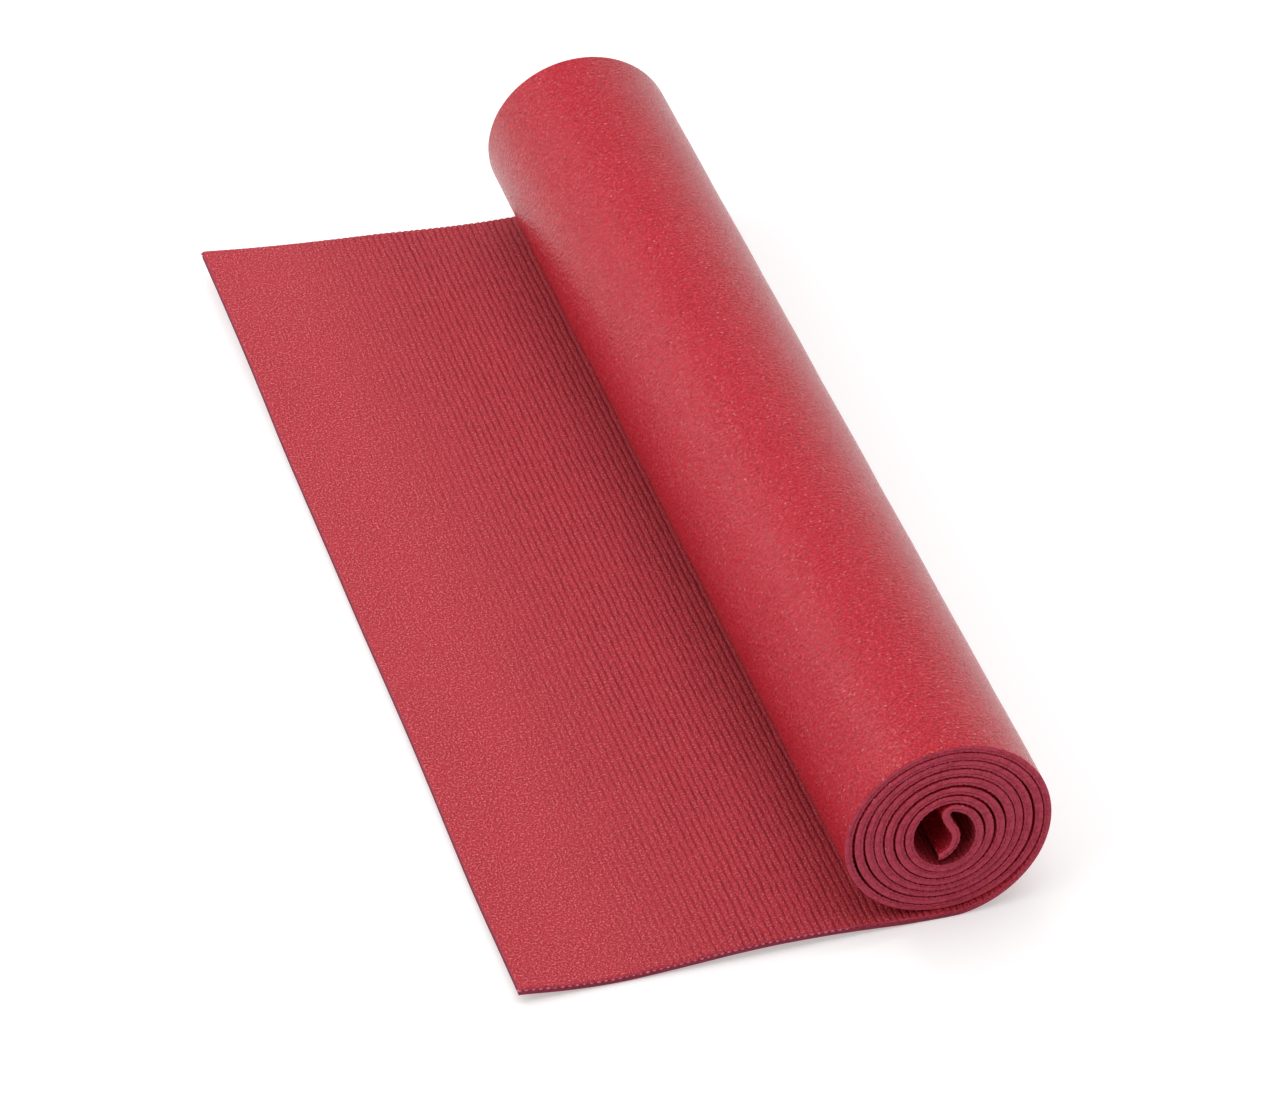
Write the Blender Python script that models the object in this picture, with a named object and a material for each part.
"""A yoga mat, partly unrolled: one limp sheet of PVC foam with a mesh scrim inside it.

The sheet is a laminate of three plies: base foam, scrim and top foam. From its free edge at -X it lies flat
as a flap, runs under the roll, climbs the roll's right side and winds inwards, anticlockwise as seen from
the near end at -Y. In the bore its inner end folds back on itself and hangs as a loose tail.

The sheet is continuous in the real mat. Here each ply is cut only along the lines where the sheet bends in
use, so that the flap can be lifted in a curve and the tail can flex.

The origin is on the floor under the roll's centre, half way along the mat's width. X runs across the roll,
Y along it and Z up. The section is drawn in the XZ plane, so a two-number vector here is (x, z).
"""

import math
from collections.abc import Callable, Iterator
from dataclasses import dataclass

import bpy
from mathutils import Vector

# Sheet: its width, its three plies and the clearance between bonded plies
MAT_WIDTH = 0.610
BASE_PLY = 0.0023
SCRIM_PLY = 0.0003
TOP_PLY = 0.0013
BOND_GAP = 0.0003
SHEET_THICKNESS = BASE_PLY + BOND_GAP + SCRIM_PLY + BOND_GAP + TOP_PLY

# Clearance between two pieces of one ply where the sheet bends
BEND_GAP = 0.0003

# Roll: its section is an oval that leans over to the left. The sheet is pressed thinner below the bore,
# and the turns lie looser above and beside it
LAYERS = 8
BORE_WIDTH = 0.0290
BORE_HEIGHT = 0.0338
SIDE_TURN_GAP = 0.0005
TOP_TURN_GAP = 0.00060
FOOT_TURN_GAP = 0.00055
FOOT_SQUEEZE = 0.0010
FOOT_CUT = 0.0005
ROLL_LEAN = 0.0016
BORE_LEAN = 0.0008
SIDE_PITCH = SHEET_THICKNESS + SIDE_TURN_GAP
TOP_PITCH = SHEET_THICKNESS + TOP_TURN_GAP
FOOT_PITCH = SHEET_THICKNESS - FOOT_SQUEEZE + FOOT_TURN_GAP
STEPS_PER_TURN = 36

# Tail: the fold starts this many turns before the innermost layer would end under the bore
FOLD_BACK_TURNS = 0.55
FOLD_INNER_RADIUS = 0.0010
FOLD_SWEEP = math.radians(121)
FOLD_RELIEF = math.radians(14)
SHANK_RADIUS = 0.0250
SHANK_SWEEP = math.radians(20)
TAIL_BEND_RADIUS = 0.0110
TAIL_BEND_SWEEP = math.radians(110)
ARC_STEP = math.radians(14)

# Flap: distances are to the left of the roll's centre, and the bends are at fixed shares of its reach
FLAP_REACH = 0.2088
NEAR_BEND_SHARE = 0.2874
MIDDLE_BEND_SHARE = 0.5172
EDGE_BEND_SHARE = 0.7567
CURL_SHARE = 0.6705
NEAR_BEND = NEAR_BEND_SHARE * FLAP_REACH
MIDDLE_BEND = MIDDLE_BEND_SHARE * FLAP_REACH
EDGE_BEND = EDGE_BEND_SHARE * FLAP_REACH
HUMP_START = 0.0200
HUMP_LENGTH = 0.1300
HUMP_HEIGHT = 0.0034
CURL_START = CURL_SHARE * FLAP_REACH
CURL_HEIGHT = 0.0084
FOOT_RUN = 0.0450
FLAP_STEP = 0.0065

COLLECTION_NAME = "yoga_mat"


@dataclass(frozen=True)
class Finish:
    """Colour and roughness of one ply."""

    colour: tuple[float, float, float]
    roughness: float


@dataclass(frozen=True)
class Ply:
    """One ply of the laminate, between two depths measured from the sheet's base side."""

    name: str
    outer_depth: float
    inner_depth: float
    finish: Finish


@dataclass(frozen=True)
class Station:
    """One place along the sheet: its point on the base side, the way in, and how squeezed it is."""

    base: Vector
    inward: Vector
    thickness_share: float = 1.0

    def at(self, depth: float) -> Vector:
        """The point at this depth, kept on or above the floor."""
        point = self.base + self.inward * depth * self.thickness_share
        return Vector((point.x, max(point.y, 0.0)))


@dataclass(frozen=True)
class Stretch:
    """A length of the sheet that moves as one, with the pivot of its bend and what it hangs from."""

    name: str
    stations: list[Station]
    pivot: Vector
    carrier: str | None


BASE_FOAM = Ply("base_foam", 0.0, BASE_PLY, Finish((0.47, 0.045, 0.065), 0.5))
SCRIM = Ply("scrim", BASE_PLY + BOND_GAP, BASE_PLY + BOND_GAP + SCRIM_PLY, Finish((0.72, 0.42, 0.42), 0.8))
TOP_FOAM = Ply("top_foam", SHEET_THICKNESS - TOP_PLY, SHEET_THICKNESS, Finish((0.53, 0.05, 0.065), 0.85))
PLIES = (BASE_FOAM, SCRIM, TOP_FOAM)


def smooth(share: float) -> float:
    """Eases from 0 to 1, level at both ends."""
    share = min(max(share, 0.0), 1.0)
    return share * share * (3 - 2 * share)


def turned(direction: Vector, angle: float) -> Vector:
    """The direction turned anticlockwise in the section."""
    cosine, sine = math.cos(angle), math.sin(angle)
    return Vector((direction.x * cosine - direction.y * sine, direction.x * sine + direction.y * cosine))


def oval_point(turn: float) -> Vector:
    """A point of the spiral that the sheet's base side follows, this many turns in from the foot."""
    turns_left = LAYERS - turn
    bottom = FOOT_PITCH * turn - FOOT_CUT
    bore_bottom = FOOT_PITCH * LAYERS - FOOT_CUT
    top = bore_bottom + BORE_HEIGHT + TOP_PITCH * turns_left
    half_width = BORE_WIDTH / 2 + SIDE_PITCH * turns_left
    lean = ROLL_LEAN + (BORE_LEAN - ROLL_LEAN) * turn / LAYERS
    across, up = math.sin(math.tau * turn), -math.cos(math.tau * turn)
    centre_height, half_height = (top + bottom) / 2, (top - bottom) / 2
    return Vector((half_width * across - lean * up, centre_height + half_height * up))


def winding_station(turn: float) -> Station:
    """The sheet at this turn, squeezed where the roll's weight rests on it."""
    base = oval_point(turn)
    inward = (oval_point(turn + 1) - base).normalized()
    below = max(0.0, math.cos(math.tau * turn))
    return Station(base, inward, 1 - below * FOOT_SQUEEZE / SHEET_THICKNESS)


def flap_height(distance: float) -> float:
    """Height of the flap's base side: a low hump by the roll, then the curl of the free edge."""
    hump_share = min(max((distance - HUMP_START) / HUMP_LENGTH, 0.0), 1.0)
    curl_share = max((distance - CURL_START) / (FLAP_REACH - CURL_START), 0.0)
    foot = FOOT_CUT * (1 - smooth(distance / FOOT_RUN))
    return HUMP_HEIGHT * math.sin(math.pi * hump_share) ** 2 + CURL_HEIGHT * curl_share**2 - foot


def flap_station(distance: float) -> Station:
    """The sheet at this distance to the left of the roll's centre."""
    ahead, behind = distance + FLAP_STEP / 2, distance - FLAP_STEP / 2
    along = Vector((-FLAP_STEP, flap_height(ahead) - flap_height(behind))).normalized()
    inward = Vector((along.y, -along.x))
    squeeze = FOOT_SQUEEZE * (1 - smooth(distance / FOOT_RUN))
    return Station(Vector((-distance, flap_height(distance))), inward, 1 - squeeze / SHEET_THICKNESS)


def spaced(start: float, end: float, step: float) -> Iterator[float]:
    """Evenly spaced values from start to end, both included, no further apart than the step."""
    count = max(1, math.ceil(abs(end - start) / step))
    return (start + (end - start) * index / count for index in range(count + 1))


def flap_stations(far: float, near: float) -> list[Station]:
    """Stations of the flap from the far distance to the near one."""
    return [flap_station(distance) for distance in spaced(far, near, FLAP_STEP)]


def winding_stations() -> list[Station]:
    """Stations of the wound sheet, at the same angles on every turn so that its facets lie parallel."""
    last = LAYERS - FOLD_BACK_TURNS
    turns = [step / STEPS_PER_TURN for step in range(math.floor(last * STEPS_PER_TURN))] + [last]
    return [winding_station(turn) for turn in turns]


@dataclass
class Route:
    """Follows the tail's middle line in arcs. Left is the sheet's inner side."""

    middle: Vector
    left: Vector

    def station(self) -> Station:
        """The sheet where the route has come to."""
        return Station(self.middle - self.left * SHEET_THICKNESS / 2, self.left)

    def arc(self, radius: float, sweep: float, skip: float = 0.0) -> Iterator[Station]:
        """Stations along an arc: a positive sweep turns left. The first part of it can be skipped."""
        side = math.copysign(radius, sweep)
        centre = self.middle + self.left * side
        start = self.left.copy()
        for angle in spaced(math.copysign(skip, sweep), sweep, ARC_STEP):
            self.left = turned(start, angle)
            self.middle = centre - self.left * side
            yield self.station()


def tail_stretch() -> Stretch:
    """The sheet's inner end: a tight fold, a nearly straight shank and a hooked tip."""
    end = winding_station(LAYERS - FOLD_BACK_TURNS)
    middle = end.base + end.inward * SHEET_THICKNESS * end.thickness_share / 2
    fold_radius = FOLD_INNER_RADIUS + SHEET_THICKNESS / 2
    route = Route(middle, end.inward.copy())
    stations = list(route.arc(fold_radius, FOLD_SWEEP, skip=FOLD_RELIEF))
    stations += list(route.arc(SHANK_RADIUS, SHANK_SWEEP))[1:]
    stations += list(route.arc(TAIL_BEND_RADIUS, -TAIL_BEND_SWEEP))[1:]
    return Stretch("tail", stations, middle + end.inward * fold_radius, None)


def bend_pivot(distance: float) -> Vector:
    """A flap bend's axis, on the sheet's top side, where lifting the flap opens the cut below it."""
    return flap_station(distance).at(SHEET_THICKNESS)


def sheet_stretches() -> list[Stretch]:
    """The whole sheet as stretches, each named carrier listed before what hangs from it."""
    half_gap = BEND_GAP / 2
    strip = flap_stations(NEAR_BEND - half_gap, 0.0)[:-1]
    return [
        Stretch("roll", strip + winding_stations(), Vector((0.0, 0.0)), None),
        tail_stretch(),
        Stretch("near_flap", flap_stations(MIDDLE_BEND - half_gap, NEAR_BEND + half_gap),
                bend_pivot(NEAR_BEND), None),
        Stretch("middle_flap", flap_stations(EDGE_BEND - half_gap, MIDDLE_BEND + half_gap),
                bend_pivot(MIDDLE_BEND), "near_flap"),
        Stretch("free_edge", flap_stations(FLAP_REACH, EDGE_BEND + half_gap),
                bend_pivot(EDGE_BEND), "middle_flap"),
    ]


def ply_outline(stations: list[Station], ply: Ply) -> list[Vector]:
    """The closed outline of one ply: along its outer side and back along its inner side."""
    outer = [station.at(ply.outer_depth) for station in stations]
    inner = [station.at(ply.inner_depth) for station in stations]
    return outer + inner[::-1]


def make_material(name: str, finish: Finish) -> bpy.types.Material:
    """A plain Principled material."""
    material = bpy.data.materials.new(name)
    material.use_nodes = True
    shader = material.node_tree.nodes["Principled BSDF"]
    shader.inputs["Base Color"].default_value = (*finish.colour, 1.0)
    shader.inputs["Roughness"].default_value = finish.roughness
    shader.inputs["Metallic"].default_value = 0.0
    material.diffuse_color = (*finish.colour, 1.0)
    return material


def make_ply(stretch: Stretch, ply: Ply, pivot_empty: bpy.types.Object, parts: bpy.types.Collection) -> None:
    """One ply of one stretch: a filled outline, extruded across the mat's width, about its own pivot."""
    name = f"{stretch.name}_{ply.name}"
    curve = bpy.data.curves.new(name, "CURVE")
    curve.dimensions = "2D"
    curve.fill_mode = "BOTH"
    curve.extrude = MAT_WIDTH / 2
    outline = ply_outline(stretch.stations, ply)
    spline = curve.splines.new("POLY")
    spline.points.add(len(outline) - 1)
    for point, corner in zip(spline.points, outline):
        place = corner - stretch.pivot
        point.co = (place.x, place.y, 0.0, 1.0)
    spline.use_cyclic_u = True
    curve.materials.append(make_material(name, ply.finish))
    obj = bpy.data.objects.new(name, curve)
    obj.rotation_euler.x = math.pi / 2
    obj.parent = pivot_empty
    parts.objects.link(obj)


def make_pivot(
    stretch: Stretch, pivots: dict[str, bpy.types.Object], parts: bpy.types.Collection
) -> bpy.types.Object:
    """An empty on the stretch's bend, carried by the empty of the stretch that it hangs from."""
    empty = bpy.data.objects.new(f"{stretch.name}_pivot", None)
    empty.empty_display_size = SHEET_THICKNESS
    carrier = pivots.get(stretch.carrier) if stretch.carrier else None
    place = Vector((stretch.pivot.x, 0.0, stretch.pivot.y))
    if carrier:
        empty.parent = carrier
        place -= carrier.matrix_world.translation
    empty.location = place
    parts.objects.link(empty)
    bpy.context.view_layer.update()
    return empty


def distance_to_line(point: Vector, start: Vector, end: Vector) -> float:
    """Distance from a point to a straight piece of line."""
    along = end - start
    share = min(max((point - start).dot(along) / along.length_squared, 0.0), 1.0)
    return (start + along * share - point).length


def least_turn_gap(stations: list[Station]) -> float:
    """The least gap between the top side of any turn and the base side of the turns inside it."""
    top_side = [station.at(SHEET_THICKNESS) for station in stations]
    base_side = [station.at(0.0) for station in stations]
    later = STEPS_PER_TURN // 2
    gaps = (
        distance_to_line(point, *base_side[index : index + 2])
        for place, point in enumerate(top_side)
        for index in range(place + later, min(place + 2 * STEPS_PER_TURN, len(base_side) - 1))
    )
    return min(gaps)


def sheet_length(stretches: list[Stretch]) -> float:
    """Length of the sheet along its middle."""
    def middle_length(stations: list[Station]) -> float:
        middles = [station.at(SHEET_THICKNESS / 2) for station in stations]
        return sum((b - a).length for a, b in zip(middles, middles[1:]))

    return sum(middle_length(stretch.stations) for stretch in stretches)


def report(stretches: list[Stretch], write: Callable[[str], None] = print) -> None:
    """Prints the sizes that follow from the driving dimensions."""
    write(f"sheet length {sheet_length(stretches):.4f} m, thickness {SHEET_THICKNESS:.4f} m")
    write(f"least gap between turns {least_turn_gap(stretches[0].stations):.5f} m")
    for stretch in stretches:
        write(f"{stretch.name} pivot at x {stretch.pivot.x:.5f}, z {stretch.pivot.y:.5f}")


def main() -> None:
    """Clears the scene and builds every ply of every stretch."""
    for obj in list(bpy.data.objects):
        bpy.data.objects.remove(obj, do_unlink=True)
    parts = bpy.data.collections.new(COLLECTION_NAME)
    bpy.context.scene.collection.children.link(parts)
    stretches = sheet_stretches()
    pivots: dict[str, bpy.types.Object] = {}
    for stretch in stretches:
        pivots[stretch.name] = make_pivot(stretch, pivots, parts)
        for ply in PLIES:
            make_ply(stretch, ply, pivots[stretch.name], parts)
    report(stretches)


if __name__ == "__main__":
    main()
